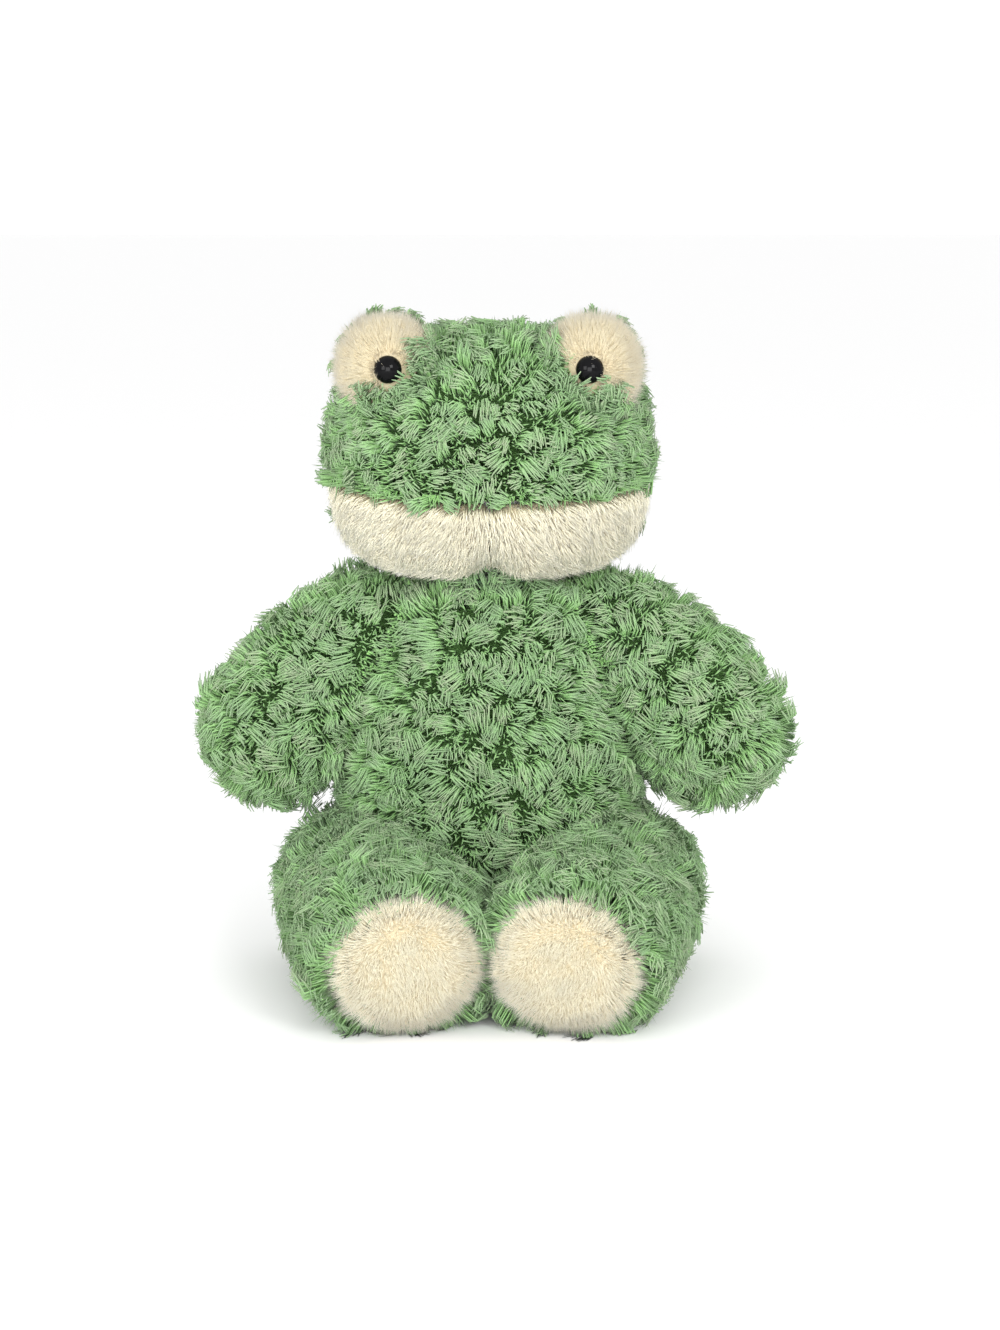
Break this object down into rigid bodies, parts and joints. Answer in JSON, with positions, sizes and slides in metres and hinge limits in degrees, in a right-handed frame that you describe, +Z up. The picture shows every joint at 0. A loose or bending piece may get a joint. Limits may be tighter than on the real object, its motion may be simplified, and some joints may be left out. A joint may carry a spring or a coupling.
{
  "type": "plush frog",
  "caption": "Sitting soft toy frog in curly green plush with cream jaw, soles and eye mounds, and turning head, arms and legs.",
  "frame": {"origin": "on the flat of the seat, under the middle of the torso", "axes": "+Z up through the head, -Y the way the frog faces, +X towards the frog's own left hand"},
  "size_m": [0.2182, 0.1539, 0.2473],
  "materials": {
    "green_plush": "curly tufted pile",
    "cream_plush": "short combed pile",
    "white_filling": "loose fibre",
    "pouch_cloth": "woven",
    "green_thread": "twisted thread",
    "black_plastic": "polished",
    "washer_plastic": "moulded"
  },
  "bodies": {
    "torso": {"belly_panel": "green_plush", "back_panel": "green_plush", "torso_stuffing": "white_filling", "pellet_pouch": "pouch_cloth"},
    "neck": {"neck_wad": "white_filling", "neck_seam_thread": "green_thread"},
    "head": {"crown_panel": "green_plush", "head_back_panel": "green_plush", "left_jaw_panel": "cream_plush", "right_jaw_panel": "cream_plush", "head_stuffing": "white_filling", "left_eye_mound_front": "cream_plush", "left_eye_mound_back": "green_plush", "left_eye_mound_stuffing": "white_filling", "left_eye": "black_plastic", "left_eye_washer": "washer_plastic", "right_eye_mound_front": "cream_plush", "right_eye_mound_back": "green_plush", "right_eye_mound_stuffing": "white_filling", "right_eye": "black_plastic", "right_eye_washer": "washer_plastic"},
    "left_arm": {"left_arm_front_panel": "green_plush", "left_arm_back_panel": "green_plush", "left_arm_stuffing": "white_filling"},
    "left_leg": {"left_leg_top_panel": "green_plush", "left_leg_under_panel": "green_plush", "left_sole_panel": "cream_plush", "left_leg_stuffing": "white_filling"},
    "right_arm": {"right_arm_front_panel": "green_plush", "right_arm_back_panel": "green_plush", "right_arm_stuffing": "white_filling"},
    "right_leg": {"right_leg_top_panel": "green_plush", "right_leg_under_panel": "green_plush", "right_sole_panel": "cream_plush", "right_leg_stuffing": "white_filling"}
  },
  "joints": [
    {"name": "neck_turn", "type": "hinge", "parent": "torso", "child": "neck", "pos_m": [0, 0, 0.1526], "axis": [0, 0, 1], "range_deg": [-30, 30]},
    {"name": "head_nod", "type": "hinge", "parent": "neck", "child": "head", "pos_m": [0, 0, 0.1526], "axis": [1, 0, 0], "range_deg": [-10, 0]},
    {"name": "left_shoulder", "type": "hinge", "parent": "torso", "child": "left_arm", "pos_m": [0.0425, 0.002, 0.131], "axis": [0, -1, 0], "range_deg": [0, 40]},
    {"name": "right_shoulder", "type": "hinge", "parent": "torso", "child": "right_arm", "pos_m": [-0.0425, 0.002, 0.131], "axis": [0, 1, 0], "range_deg": [0, 40]},
    {"name": "left_hip", "type": "hinge", "parent": "torso", "child": "left_leg", "pos_m": [0.049, 0.002, 0.032], "axis": [0, 0, 1], "range_deg": [0, 35]},
    {"name": "right_hip", "type": "hinge", "parent": "torso", "child": "right_leg", "pos_m": [-0.049, 0.002, 0.032], "axis": [0, 0, -1], "range_deg": [0, 35]}
  ]
}
